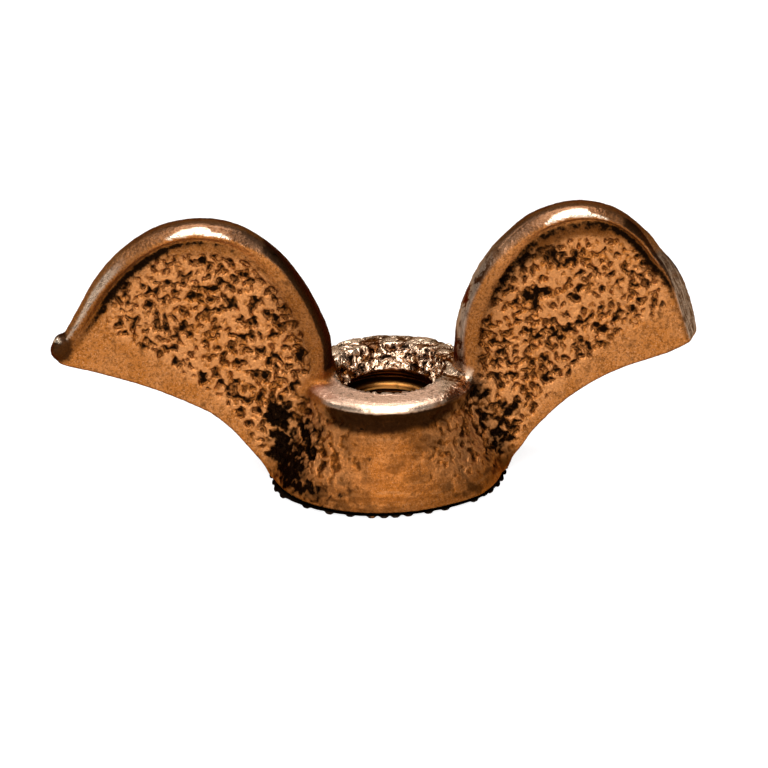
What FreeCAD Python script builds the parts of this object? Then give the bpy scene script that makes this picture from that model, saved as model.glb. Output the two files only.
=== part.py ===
"""Wing nut with a captive serrated washer, millimetres.

Frame: +Z is the thread axis and points away from the work, X runs along the wings.
The origin is on the thread axis, in the plane of the washer's tooth tips, which is
the plane that bears on the work.

Two pieces:
  nut_casting      one bronze casting: flared hub, two wings with a beaded edge, a
                   threaded bore and, underneath, a neck whose end is swaged outward
  serrated_washer  a dished ring with radial teeth round its underside, held on the
                   neck by the swaged lip and free to spin
"""

import FreeCAD, Part  # noqa: E401  (FreeCAD has to be imported first)
import math
import os

V = FreeCAD.Vector

# ---------------------------------------------------------------- thread
# M6 x 1 right-hand; the bore is cut at the thread's crest radius
THREAD_MINOR_R = 2.48
BORE_TOP_Z = 4.70  # where the top countersink meets the bore

# ---------------------------------------------------------------- hub
HUB_TOP_Z = 5.86
MOUTH_R = 3.22  # inner edge of the flat top rim
HUB_EDGE_R, HUB_EDGE_Z = 7.18, 0.26  # lower edge over the washer's rim
FLARE = [  # flank of the hub, from the widest point up to the lip (r, z)
    (7.33, 0.42), (7.08, 1.02), (6.46, 1.98), (5.80, 3.05), (5.28, 4.12), (5.04, 4.84),
]
LIP = [(5.04, 4.84), (5.10, 5.24), (5.03, 5.66), (4.75, 5.86)]  # rolled top lip

# ---------------------------------------------------------------- neck under the hub
NECK_R = 3.70
NECK_END_Z = 0.08
LIP_R = 4.50  # swaged outward, holds the washer
LIP_TOP_INNER_Z, LIP_TOP_OUTER_Z = 0.42, 0.24
UNDERSIDE_INNER_Z = 1.05  # hub's underside, at the neck
TAP_MOUTH_R = 3.08  # chamfer at the lower end of the thread
TAP_MOUTH_Z = 0.45

# ---------------------------------------------------------------- wings
BEAD_R = 0.72  # rounded edge round the top and outside of each wing
WEB_CENTRE_X, WEB_CENTRE_Z = 5.0, 2.0  # the web is thickest here and thins outward
WEB_PROFILE = [  # distance from that centre, half thickness
    (0.0, 2.00), (2.0, 1.88), (4.0, 1.42), (6.0, 1.03), (8.0, 0.78),
    (10.0, 0.63), (12.5, 0.52), (15.0, 0.46), (18.0, 0.43),
]
# centre line of the bead (x, z), from inside the hub, over the top, to the tip
LEFT_BEAD = [
    (-3.86, 4.16), (-3.92, 5.96), (-3.98, 7.76), (-4.44, 9.41), (-5.29, 11.35),
    (-6.50, 13.16), (-8.38, 14.62), (-10.45, 15.14), (-12.62, 14.83), (-14.62, 13.59),
    (-16.22, 11.83), (-17.38, 9.88), (-18.30, 8.53), (-18.90, 7.78),
]
RIGHT_BEAD = [
    (4.38, 4.16), (4.47, 5.96), (4.64, 7.96), (5.02, 9.64), (5.90, 11.56),
    (7.12, 13.26), (8.84, 14.71), (11.10, 15.30), (13.20, 14.80), (14.76, 13.39),
    (15.87, 11.88), (16.74, 10.28), (17.25, 8.66), (17.33, 7.51),
]
# lower edge of each web (x, z), from the tip to the foot of the hub
LEFT_LOWER = [
    (-18.95, 7.24), (-17.40, 6.66), (-15.10, 5.93), (-13.40, 5.28), (-11.70, 4.52),
    (-10.40, 3.86), (-9.30, 2.96), (-8.35, 1.86), (-7.60, 0.99), (-6.60, 0.54),
]
RIGHT_LOWER = [
    (17.35, 6.74), (16.40, 6.40), (15.10, 6.02), (13.40, 5.52), (11.90, 4.88),
    (10.40, 4.04), (9.20, 3.10), (8.30, 2.12), (7.60, 1.16), (6.60, 0.56),
]
# the right wing's tip carries the casting gate, ground off in two passes:
# point (x, z) on the ground face, outward normal in XZ, swing towards the front
GATE_CUTS = [((16.60, 11.60), (0.869, 0.494), 10.0), ((17.30, 9.66), (0.962, 0.273), 20.0)]

# ---------------------------------------------------------------- washer
WASHER_X = -0.25  # the washer has play on the neck and rests to one side
WASHER_R = 7.50
WASHER_HOLE_R = 4.05
WASHER_HOLE_TOP_Z, WASHER_HOLE_LOW_Z = 0.80, 0.50
WASHER_BEND_R, WASHER_BEND_TOP_Z = 6.40, 0.21  # dished inside this radius
WASHER_RIM_TOP_Z = 0.13
TOOTH_COUNT = 60
TOOTH_DEPTH = 0.17  # at the rim, so each gap also notches the edge
TOOTH_INNER_R = 6.10
TOOTH_TIP_SHARE = 0.26  # flat tip as a share of the tooth pitch


def revolve(points):
    """Solid of revolution about Z from closed (r, z) points."""
    pts = [V(r, 0, z) for r, z in points]
    face = Part.Face(Part.makePolygon(pts + [pts[0]]))
    return face.revolve(V(0, 0, 0), V(0, 0, 1), 360)


def spline(points):
    curve = Part.BSplineCurve()
    curve.interpolate(points)
    return curve.toShape()


def hub():
    """Flared hub with its lip, underside and swaged neck, still without a bore."""
    a = [V(r, 0, z) for r, z in FLARE]
    b = [V(r, 0, z) for r, z in LIP]
    inner = 1.2
    edges = [
        Part.makeLine(V(HUB_EDGE_R, 0, HUB_EDGE_Z), a[0]),
        spline(a),
        spline(b),
        Part.makeLine(b[-1], V(inner, 0, HUB_TOP_Z)),
        Part.makeLine(V(inner, 0, HUB_TOP_Z), V(inner, 0, NECK_END_Z)),
        Part.makeLine(V(inner, 0, NECK_END_Z), V(LIP_R - 0.12, 0, NECK_END_Z)),
        Part.makeLine(V(LIP_R - 0.12, 0, NECK_END_Z), V(LIP_R, 0, NECK_END_Z + 0.08)),
        Part.makeLine(V(LIP_R, 0, NECK_END_Z + 0.08), V(LIP_R, 0, LIP_TOP_OUTER_Z)),
        Part.makeLine(V(LIP_R, 0, LIP_TOP_OUTER_Z), V(NECK_R, 0, LIP_TOP_INNER_Z)),
        Part.makeLine(V(NECK_R, 0, LIP_TOP_INNER_Z), V(NECK_R, 0, UNDERSIDE_INNER_Z)),
        Part.makeLine(V(NECK_R, 0, UNDERSIDE_INNER_Z), V(HUB_EDGE_R, 0, HUB_EDGE_Z)),
    ]
    face = Part.Face(Part.Wire(edges))
    ring = face.revolve(V(0, 0, 0), V(0, 0, 1), 360)
    core = Part.makeCylinder(inner + 0.05, HUB_TOP_Z - NECK_END_Z, V(0, 0, NECK_END_Z))
    return ring.fuse(core).removeSplitter()


def wing(side, bead, lower):
    """Web of varying thickness plus the bead along its top and outer edge."""
    top = spline([V(x, 0, z) for x, z in bead])
    low = spline([V(x, 0, z) for x, z in lower])
    inside = V(3.55 * side, 0, 1.3)
    outline = Part.Wire([
        top,
        Part.makeLine(V(bead[-1][0], 0, bead[-1][1]), V(lower[0][0], 0, lower[0][1])),
        low,
        Part.makeLine(V(lower[-1][0], 0, lower[-1][1]), inside),
        Part.makeLine(inside, V(bead[0][0], 0, bead[0][1])),
    ])
    plate = Part.Face(outline).extrude(V(0, 6, 0)).translated(V(0, -3, 0))
    # lens: half thickness falls off with distance from the web's centre
    half = [V(WEB_CENTRE_X * side + d, h, WEB_CENTRE_Z) for d, h in WEB_PROFILE]
    reach = WEB_PROFILE[-1][0]
    front = [V(p.x, -p.y, p.z) for p in reversed(half)]
    axis_x = WEB_CENTRE_X * side
    lens_wire = Part.Wire([
        spline(half),
        Part.makeLine(half[-1], front[0]),
        spline(front),
        Part.makeLine(front[-1], half[0]),
    ])
    lens = Part.Face(lens_wire).revolve(V(axis_x, 0, WEB_CENTRE_Z), V(0, 1, 0), 360)
    web = plate.common(lens)
    start = V(bead[0][0], 0, bead[0][1])
    tangent = top.tangentAt(top.FirstParameter)
    ring = Part.Wire(Part.makeCircle(BEAD_R, start, tangent))
    tube = Part.Wire(top).makePipeShell([ring], True, False)
    end = Part.makeSphere(BEAD_R, V(bead[-1][0], 0, bead[-1][1]))
    return web.fuse(tube).fuse(end)


def gate_tools():
    """Blocks whose inner faces are the two ground faces at the right wing's tip."""
    tools = []
    for (x, z), (nx, nz), swing in GATE_CUTS:
        s = math.radians(swing)
        n = V(nx * math.cos(s), -math.sin(s), nz * math.cos(s))
        block = Part.makeBox(12, 30, 30, V(0, -15, -15))
        turn = FreeCAD.Rotation(V(1, 0, 0), n)
        block.Placement = FreeCAD.Placement(V(x, 0, z), turn)
        tools.append(block)
    return tools


def bore_tools():
    """The tap hole at the thread's crest diameter, and the two countersinks."""
    lo, hi = NECK_END_Z - 1.0, HUB_TOP_Z + 1.0
    hole = Part.makeCylinder(THREAD_MINOR_R, hi - lo, V(0, 0, lo))
    over = 0.5
    slope = (MOUTH_R - THREAD_MINOR_R) / (HUB_TOP_Z - BORE_TOP_Z)
    top = revolve([
        (0, BORE_TOP_Z - 0.3), (THREAD_MINOR_R - slope * 0.3, BORE_TOP_Z - 0.3),
        (MOUTH_R + slope * over, HUB_TOP_Z + over), (0, HUB_TOP_Z + over),
    ])
    k = (TAP_MOUTH_R - THREAD_MINOR_R) / (TAP_MOUTH_Z - NECK_END_Z)
    low = revolve([
        (0, TAP_MOUTH_Z + 0.2), (THREAD_MINOR_R - k * 0.2, TAP_MOUTH_Z + 0.2),
        (TAP_MOUTH_R + k * over, NECK_END_Z - over), (0, NECK_END_Z - over),
    ])
    return [hole, top, low]


def nut_casting():
    body = hub()
    right = wing(1, RIGHT_BEAD, RIGHT_LOWER)
    for tool in gate_tools():
        right = right.cut(tool)
    left = wing(-1, LEFT_BEAD, LEFT_LOWER)
    body = body.fuse(left).fuse(right)
    for tool in bore_tools():
        body = body.cut(tool)
    return body


def serrated_washer():
    """Dished ring whose underside carries radial teeth round its rim."""
    body = revolve([
        (WASHER_HOLE_R, WASHER_HOLE_LOW_Z), (TOOTH_INNER_R, 0.0), (WASHER_R, 0.0),
        (WASHER_R, WASHER_RIM_TOP_Z), (WASHER_BEND_R, WASHER_BEND_TOP_Z),
        (WASHER_HOLE_R, WASHER_HOLE_TOP_Z),
    ])
    pitch = 2 * math.pi / TOOTH_COUNT
    share = (1 - TOOTH_TIP_SHARE) / 2.0
    near, far = TOOTH_INNER_R - 0.6, WASHER_R + 0.5
    below = -0.2

    def corners(r, deep):
        w = share * pitch * r * (deep - below) / deep
        return [V(r, -w, below), V(r, w, below), V(r, 0, deep)]

    a, b = corners(near, 0.05), corners(far, TOOTH_DEPTH + 0.05)
    sides = [
        [a[0], a[1], a[2]], [b[0], b[1], b[2]], [a[0], a[1], b[1], b[0]],
        [a[1], a[2], b[2]], [a[1], b[2], b[1]], [a[2], a[0], b[0]], [a[2], b[0], b[2]],
    ]
    faces = [Part.Face(Part.makePolygon(f + [f[0]])) for f in sides]
    tool = Part.Solid(Part.Shell(faces))
    if tool.Volume < 0:
        tool.reverse()
    for i in range(TOOTH_COUNT):
        t = tool.copy()
        t.rotate(V(0, 0, 0), V(0, 0, 1), 360.0 * (i + 0.5) / TOOTH_COUNT)
        body = body.cut(t)
    return body.translated(V(WASHER_X, 0, 0))


def save(name, shape):
    solids = shape.Solids
    if len(solids) != 1:
        print(name, "has", len(solids), "solids", [round(s.Volume, 3) for s in solids])
    shape = max(solids, key=lambda s: s.Volume)
    b = shape.BoundBox
    print(f"{name}: valid {shape.isValid()} volume {shape.Volume:.2f} mm3 faces {len(shape.Faces)} "
          f"x {b.XMin:.2f}..{b.XMax:.2f} y {b.YMin:.2f}..{b.YMax:.2f} z {b.ZMin:.2f}..{b.ZMax:.2f}")
    shape.exportStep(f"parts/{name}.step")


def main():
    os.makedirs("parts", exist_ok=True)
    save("nut_casting", nut_casting())
    save("serrated_washer", serrated_washer())


main()
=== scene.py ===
"""Looks of the wing nut: a cast, antiqued nut with a captive toothed washer.

Lengths in the modelling code are millimetres and are scaled to metres when a mesh is made.
"""

import math

import bpy
import numpy as np
import openvdb
from mathutils import Matrix


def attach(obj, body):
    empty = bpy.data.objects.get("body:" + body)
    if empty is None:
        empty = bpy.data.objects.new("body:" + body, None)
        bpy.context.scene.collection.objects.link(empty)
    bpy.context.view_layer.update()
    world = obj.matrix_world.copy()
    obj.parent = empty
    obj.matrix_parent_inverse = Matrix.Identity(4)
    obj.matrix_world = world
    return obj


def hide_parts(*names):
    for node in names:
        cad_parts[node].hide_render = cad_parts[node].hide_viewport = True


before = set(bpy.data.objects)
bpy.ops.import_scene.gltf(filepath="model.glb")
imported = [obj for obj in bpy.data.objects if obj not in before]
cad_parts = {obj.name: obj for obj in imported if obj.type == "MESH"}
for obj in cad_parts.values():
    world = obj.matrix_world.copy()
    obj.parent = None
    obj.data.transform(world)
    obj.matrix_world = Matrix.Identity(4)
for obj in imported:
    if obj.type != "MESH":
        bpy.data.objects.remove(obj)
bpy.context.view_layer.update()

MM = 0.001
CELL = 0.13  # grid spacing of the casting's field
F = np.float32

# ------------------------------------------------------------------ design data
HUB_PROFILE = [
    (0.0, 5.86), (3.2, 5.86), (4.30, 5.85), (4.56, 5.82), (4.77, 5.74), (4.93, 5.61),
    (5.04, 5.44), (5.09, 5.24), (5.08, 5.05), (5.04, 4.88), (5.04, 4.66), (5.12, 4.42),
    (5.28, 4.08), (5.51, 3.56), (5.80, 3.02), (6.12, 2.48), (6.46, 1.97), (6.80, 1.46),
    (7.08, 1.02), (7.25, 0.70), (7.33, 0.48), (7.33, 0.36), (7.27, 0.28), (7.16, 0.26),
    (3.84, 1.02), (3.72, 0.98), (3.70, 0.88), (3.70, 0.46), (3.76, 0.41), (4.38, 0.27),
    (4.47, 0.23), (4.50, 0.18), (4.46, 0.12), (4.38, 0.09), (0.0, 0.08),
]
MOUTH_R, HUB_TOP = 3.22, 5.86
MINOR_R, MAJOR_R, PITCH = 2.48, 3.0, 1.0
BORE_TOP, TAP_MOUTH_Z, TAP_MOUTH_R, NECK_END = 4.70, 0.45, 3.08, 0.08

WEB_C = (5.0, 2.0)
BEAD_R = 0.72
WEB_PROFILE = [
    (0.0, 2.00), (2.0, 1.88), (4.0, 1.42), (6.0, 1.03), (8.0, 0.78),
    (10.0, 0.62), (12.5, 0.50), (15.0, 0.42), (24.0, 0.38),
]
LEFT_BEAD = [
    (-3.86, 4.16), (-3.92, 5.96), (-3.98, 7.76), (-4.44, 9.41), (-5.29, 11.35),
    (-6.50, 13.16), (-8.38, 14.62), (-10.45, 15.14), (-12.62, 14.83), (-14.62, 13.59),
    (-16.22, 11.83), (-17.38, 9.88), (-18.26, 8.62), (-18.84, 8.02),
]
RIGHT_BEAD = [
    (4.38, 4.16), (4.47, 5.96), (4.64, 7.96), (5.02, 9.64), (5.90, 11.56),
    (7.12, 13.24), (8.84, 14.67), (11.10, 15.24), (13.20, 14.75), (14.76, 13.39),
    (15.87, 11.88), (16.74, 10.28), (17.25, 8.66), (17.36, 7.60),
]
LEFT_LOWER = [
    (-19.38, 7.70), (-19.18, 7.27), (-18.72, 7.02), (-18.10, 6.84), (-17.40, 6.64), (-15.10, 5.93), (-13.40, 5.28), (-11.70, 4.52),
    (-10.40, 3.86), (-9.30, 2.96), (-8.35, 1.86), (-7.60, 0.99), (-6.60, 0.54),
]
RIGHT_LOWER = [
    (17.80, 7.38), (17.58, 7.03), (17.02, 6.71), (16.32, 6.40), (15.10, 6.02), (13.40, 5.52), (11.90, 4.88),
    (10.40, 4.04), (9.20, 3.10), (8.20, 2.17), (7.45, 1.17), (6.50, 0.56),
]
# share of the bead's length, half width (front to back), half height (radial)
LEFT_SECTION = [
    (0.0, 0.90, 0.60), (0.30, 0.90, 0.58), (0.50, 0.92, 0.54), (0.75, 0.88, 0.53),
    (0.88, 0.78, 0.48), (0.95, 0.62, 0.40), (1.0, 0.52, 0.36),
]
RIGHT_SECTION = [
    (0.0, 0.90, 0.60), (0.30, 0.90, 0.58), (0.46, 0.92, 0.55), (0.55, 0.90, 0.50), (0.64, 0.86, 0.40),
    (0.72, 0.84, 0.35), (0.84, 0.82, 0.36), (0.93, 0.70, 0.36), (1.0, 0.46, 0.30),
]
SHOULDER = math.radians(30.0)  # how far the flat on the bead's shoulder leans back
SHOULDER_CUT = {  # how deep it is cut, along the bead
    -1: ([0.0, 0.34, 0.44, 0.80, 0.93, 1.0], [-0.1, -0.06, 0.11, 0.09, 0.03, -0.05]),
    1: ([0.0, 0.30, 0.40, 0.66, 0.80, 1.0], [-0.1, -0.06, 0.13, 0.11, 0.0, -0.05]),
}
TIP_BLOB = ((-18.99, 8.00), (-18.79, 8.42), 0.58)  # ends and radius of the blob at the left wing's tip
GATE_CUTS = [((16.48, 11.60), (0.869, 0.494), 30.0), ((17.16, 9.64), (0.962, 0.273), 37.0)]


# ------------------------------------------------------------------ numeric helpers
def spline(points, step=0.12):
    """Centripetal Catmull-Rom through the points, resampled finely."""
    p = np.array(points, float)
    p = np.vstack([2 * p[0] - p[1], p, 2 * p[-1] - p[-2]])
    out = []
    for a, b, c, d in zip(p, p[1:], p[2:], p[3:]):
        t0 = 0.0
        t1 = t0 + math.sqrt(np.hypot(*(b - a)))
        t2 = t1 + math.sqrt(np.hypot(*(c - b)))
        t3 = t2 + math.sqrt(np.hypot(*(d - c)))
        n = max(2, int(np.hypot(*(c - b)) / step))
        for t in np.linspace(t1, t2, n, endpoint=False):
            a1 = (t1 - t) / (t1 - t0) * a + (t - t0) / (t1 - t0) * b
            a2 = (t2 - t) / (t2 - t1) * b + (t - t1) / (t2 - t1) * c
            a3 = (t3 - t) / (t3 - t2) * c + (t - t2) / (t3 - t2) * d
            b1 = (t2 - t) / (t2 - t0) * a1 + (t - t0) / (t2 - t0) * a2
            b2 = (t3 - t) / (t3 - t1) * a2 + (t - t1) / (t3 - t1) * a3
            out.append((t2 - t) / (t2 - t1) * b1 + (t - t1) / (t2 - t1) * b2)
    out.append(p[-2])
    return np.array(out)


def nearest_on(points, qx, qy, closed=False):
    """Distance from each query point to a polyline, the share of its length there, and inside."""
    p = np.asarray(points, float)
    a = p
    b = np.roll(p, -1, axis=0)
    if not closed:
        a, b = p[:-1], p[1:]
    length = np.hypot(*(b - a).T)
    at = np.concatenate([[0], np.cumsum(length)])
    best = np.full(qx.shape, 1e9)
    share = np.zeros(qx.shape)
    inside = np.zeros(qx.shape, bool)
    for i in range(len(a)):
        (x0, y0), (x1, y1) = a[i], b[i]
        dx, dy = x1 - x0, y1 - y0
        t = np.clip(((qx - x0) * dx + (qy - y0) * dy) / max(dx * dx + dy * dy, 1e-12), 0, 1)
        d = (qx - x0 - t * dx) ** 2 + (qy - y0 - t * dy) ** 2
        near = d < best
        best = np.where(near, d, best)
        share = np.where(near, (at[i] + t * length[i]) / at[-1], share)
        if closed and y0 != y1:
            cross = (y0 > qy) != (y1 > qy)
            inside ^= cross & (qx < dx * (qy - y0) / dy + x0)
    return np.sqrt(best), share, inside


class Table:
    """A field on a regular 2-D grid, read with bilinear interpolation."""

    def __init__(self, x0, x1, y0, y1, step, make):
        self.x0, self.y0, self.step = x0, y0, step
        nx, ny = int((x1 - x0) / step) + 2, int((y1 - y0) / step) + 2
        gx, gy = np.meshgrid(x0 + step * np.arange(nx), y0 + step * np.arange(ny), indexing="ij")
        self.v = make(gx, gy).astype(F)

    def __call__(self, x, y):
        nx, ny = self.v.shape
        u = np.clip((x - self.x0) / self.step, 0, nx - 1.001).astype(F)
        w = np.clip((y - self.y0) / self.step, 0, ny - 1.001).astype(F)
        u, w = np.broadcast_arrays(u, w)
        i, j = u.astype(np.int32), w.astype(np.int32)
        fu, fw = u - i, w - j
        v = self.v
        return (
            v[i, j] * (1 - fu) * (1 - fw) + v[i + 1, j] * fu * (1 - fw)
            + v[i, j + 1] * (1 - fu) * fw + v[i + 1, j + 1] * fu * fw
        )


def smin(a, b, k):
    h = np.maximum(k - np.abs(a - b), 0) / k
    return np.minimum(a, b) - h * h * k * 0.25


def smax(a, b, k):
    return -smin(-a, -b, k)


def ramp(lo, hi, x):
    t = np.clip((x - lo) / (hi - lo), 0, 1)
    return t * t * (3 - 2 * t)


def mesh_object(name, points_mm, faces, smooth=True):
    me = bpy.data.meshes.new(name)
    n, sides = len(faces), faces.shape[1]
    me.vertices.add(len(points_mm))
    me.vertices.foreach_set("co", (np.asarray(points_mm, float) * MM).astype(F).ravel())
    me.loops.add(n * sides)
    me.loops.foreach_set("vertex_index", faces.astype(np.int32).ravel())
    me.polygons.add(n)
    me.polygons.foreach_set("loop_start", np.arange(0, n * sides, sides, dtype=np.int32))
    me.update(calc_edges=True)
    me.validate()
    me.polygons.foreach_set("use_smooth", np.full(len(me.polygons), smooth))
    ob = bpy.data.objects.new(name, me)
    bpy.context.scene.collection.objects.link(ob)
    return ob


def attribute(ob, name, values, kind="FLOAT"):
    a = ob.data.attributes.new(name, kind, "POINT")
    a.data.foreach_set("vector" if kind == "FLOAT_VECTOR" else "value", np.asarray(values, F).ravel())


NOISES = {  # name: scale per mm, detail, roughness, distortion, offset
    "worm": (2.40, 1.0, 0.50, 0.30, 3.1),
    "flake": (0.80, 3.0, 0.60, 0.35, 17.7),
    "wave": (0.22, 2.0, 0.50, 0.0, 41.3),
    "grain": (6.5, 2.0, 0.60, 0.0, 63.9),
    "blotch": (0.50, 3.0, 0.62, 0.4, 85.2),
    "lump": (1.05, 2.0, 0.55, 0.3, 7.7),
    "chip": (0.80, 1.5, 0.50, 0.7, 29.4),
}


def noise_at(points_mm, names):
    """Blender's own noise at the points, the same that the materials use."""
    me = bpy.data.meshes.new("noise_points")
    me.vertices.add(len(points_mm))
    me.vertices.foreach_set("co", np.asarray(points_mm, F).ravel())
    ob = bpy.data.objects.new("noise_points", me)
    bpy.context.scene.collection.objects.link(ob)
    g = bpy.data.node_groups.new("noise_points", "GeometryNodeTree")
    g.interface.new_socket("Geometry", in_out="INPUT", socket_type="NodeSocketGeometry")
    g.interface.new_socket("Geometry", in_out="OUTPUT", socket_type="NodeSocketGeometry")
    last = g.nodes.new("NodeGroupInput").outputs[0]
    where = g.nodes.new("GeometryNodeInputPosition")
    for k in names:
        scale, detail, rough, warp, offset = NOISES[k]
        move = g.nodes.new("ShaderNodeVectorMath")
        move.operation = "ADD"
        g.links.new(where.outputs[0], move.inputs[0])
        move.inputs[1].default_value = (offset, offset * 0.7, -offset)
        n = g.nodes.new("ShaderNodeTexNoise")
        n.inputs["Scale"].default_value = scale
        n.inputs["Detail"].default_value = detail
        n.inputs["Roughness"].default_value = rough
        n.inputs["Distortion"].default_value = warp
        g.links.new(move.outputs[0], n.inputs["Vector"])
        s = g.nodes.new("GeometryNodeStoreNamedAttribute")
        s.data_type, s.domain = "FLOAT", "POINT"
        s.inputs["Name"].default_value = k
        g.links.new(last, s.inputs["Geometry"])
        g.links.new(n.outputs[0], s.inputs["Value"])
        last = s.outputs[0]
    g.links.new(last, g.nodes.new("NodeGroupOutput").inputs[0])
    ob.modifiers.new("noise", "NODES").node_group = g
    done = ob.evaluated_get(bpy.context.evaluated_depsgraph_get()).data
    out = {}
    for k in names:
        v = np.zeros(len(points_mm), F)
        done.attributes[k].data.foreach_get("value", v)
        out[k] = v
    bpy.data.objects.remove(ob)
    bpy.data.meshes.remove(me)
    bpy.data.node_groups.remove(g)
    return out


# ------------------------------------------------------------------ field of the casting
def hub_table():
    poly = np.array(HUB_PROFILE + [(-1.5, 0.08), (-1.5, 5.86)], float)

    def make(r, z):
        d, _, inside = nearest_on(poly, r, z, closed=True)
        return np.where(inside, -d, d)

    return Table(-0.2, 9.5, -1.0, 7.5, 0.03, make)


class Wing:
    def __init__(self, side, bead, lower, section):
        self.side = side
        self.lower = spline(lower)
        self.section = np.array(section)
        line = spline(bead)
        along = np.gradient(line, axis=0)
        along /= np.hypot(*along.T)[:, None]
        out = np.stack([-along[:, 1], along[:, 0]], axis=1) * side
        at = np.concatenate([[0], np.cumsum(np.hypot(*np.diff(line, axis=0).T))])
        share = at / at[-1]
        room = BEAD_R - np.interp(share, self.section[:, 0], self.section[:, 2])
        room = room - 0.10 * np.exp(-(((share - 0.33) / 0.14) ** 2)) * (side < 0)
        room = room - 0.07 * np.exp(-(((share - 0.60) / 0.16) ** 2)) * (side < 0)
        if side < 0:
            room = room * np.interp(share, [0.9, 1.0], [1.0, 0.5])
        else:
            room = room - 0.12 * np.exp(-(((share - 0.70) / 0.07) ** 2)) - 0.17 * np.exp(-(((share - 0.79) / 0.035) ** 2))
        self.bead = line + out * room[:, None]
        root = [(3.4 * side, 1.0), (3.4 * side, 4.2)]
        outline = np.vstack([self.bead, self.lower, root])
        x0, x1 = (-21.0, -1.0) if side < 0 else (1.0, 20.0)
        box = (x0, x1, -1.0, 18.0, 0.06)

        def region(x, z):
            d, _, inside = nearest_on(outline, x, z, closed=True)
            return np.where(inside, -d, d)

        self.region = Table(*box, region)
        self.d_bead = Table(*box, lambda x, z: nearest_on(self.bead, x, z)[0])
        self.s_bead = Table(*box, lambda x, z: nearest_on(self.bead, x, z)[1])
        self.d_lower = Table(*box, lambda x, z: nearest_on(self.lower, x, z)[0])

    def __call__(self, x, y, z):
        s = self.s_bead(x, z)
        a = np.interp(s, self.section[:, 0], self.section[:, 1]).astype(F)
        b = np.interp(s, self.section[:, 0], self.section[:, 2]).astype(F)
        d = self.d_bead(x, z)
        y2 = y * y
        q = np.sqrt((d / b) ** 2 + y2 / a**2) + 1e-5
        g = np.sqrt((d / b**2) ** 2 + y2 / a**4) + 1e-5
        bead = q * (q - 1) / g
        # a flat rubbed along the bead's shoulder, front and back
        ca, sa = math.cos(SHOULDER), math.sin(SHOULDER)
        reach = np.sqrt((a * ca) ** 2 + (b * sa) ** 2) - np.interp(s, *SHOULDER_CUT[self.side]).astype(F)
        bead = smax(bead, np.abs(y) * ca + self.region(x, z) * sa - reach, 0.06)
        rho = np.sqrt((x - WEB_C[0] * self.side) ** 2 + (z - WEB_C[1]) ** 2)
        half = np.interp(rho, *np.array(WEB_PROFILE).T).astype(F)
        web = smax(np.abs(y) - half, self.region(x, z) + 0.02, 0.38)
        # soft where the bead faces the bore, a crease over the top and outside
        k = (0.95 - 0.76 * ramp(0.30, 0.52, s)).astype(F)
        both = smin(web, bead, k)
        if self.side < 0:
            (ax, az), (bx, bz), br = TIP_BLOB
            t = np.clip(((x - ax) * (bx - ax) + (z - az) * (bz - az)) / ((bx - ax) ** 2 + (bz - az) ** 2), 0, 1)
            ball = np.sqrt((x - ax - t * (bx - ax)) ** 2 + y2 * 0.9 + (z - az - t * (bz - az)) ** 2) - br
            both = smin(both, ball, 0.14)
        if self.side > 0:
            for (px, pz), (nx, nz), swing in GATE_CUTS:
                c, w = math.cos(math.radians(swing)), math.sin(math.radians(swing))
                plane = (x - px) * nx * c - y * w + (z - pz) * nz * c
                both = smax(both, plane, 0.16)
        return both


hub_field = hub_table()
BASE_ROUND = np.array([  # degrees round from +X, share of the base's nominal radius
    (0, 0.945), (40, 0.995), (90, 1.0), (140, 1.0), (180, 0.99), (195, 1.0), (215, 1.03), (232, 1.04),
    (250, 1.03), (270, 1.015), (296, 1.008), (312, 1.021), (322, 0.995), (335, 0.950), (350, 0.935), (360, 0.945),
])
wings = [Wing(-1, LEFT_BEAD, LEFT_LOWER, LEFT_SECTION), Wing(1, RIGHT_BEAD, RIGHT_LOWER, RIGHT_SECTION)]


def casting(x, y, z):
    """Signed distance to the casting, roughly, in mm; negative in the metal."""
    r = np.sqrt(x * x + y * y)
    way = np.degrees(np.arctan2(y, x)) % 360
    grow = (np.interp(way, BASE_ROUND[:, 0], BASE_ROUND[:, 1]) - 1).astype(F)
    body = hub_field(r / (1 + grow * ramp(4.8, 6.2, r) * ramp(3.6, 0.8, z)), z)
    for w in wings:
        k = (1.05 - 0.70 * ramp(3.6, 5.4, z)).astype(F)
        body = smin(body, w(x, y, z), k)
    # everything over the hub's flat top that lies inside the ring is cut away with the bore
    slope = (MOUTH_R - MINOR_R) / (HUB_TOP - BORE_TOP)
    mouth = (MINOR_R + slope * (np.clip(z, BORE_TOP - 0.4, HUB_TOP + 0.1) - BORE_TOP) - r) * 0.84
    low = (MINOR_R + (TAP_MOUTH_R - MINOR_R) / (TAP_MOUTH_Z - NECK_END) * (TAP_MOUTH_Z - z) - r) * 0.53
    u = (z / PITCH - np.arctan2(y, x) / (2 * math.pi) + 0.59) % 1.0 - 0.5
    depth = np.clip((0.3627 - np.abs(u)) / (0.3627 - 0.0625), 0, 1) * ramp(4.80, 4.30, z)
    crest = MINOR_R + (MAJOR_R - MINOR_R) * depth
    thread = (crest - r) * 0.75
    hole = np.maximum(np.maximum(thread, mouth), low)
    return smax(body, hole, 0.05)


def gradient(f, p, e=0.02):
    x, y, z = p.T.astype(F)
    g = np.stack(
        [f(x + e, y, z) - f(x - e, y, z), f(x, y + e, z) - f(x, y - e, z), f(x, y, z + e) - f(x, y, z - e)],
        axis=1,
    ) / (2 * e)
    return g


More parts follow.
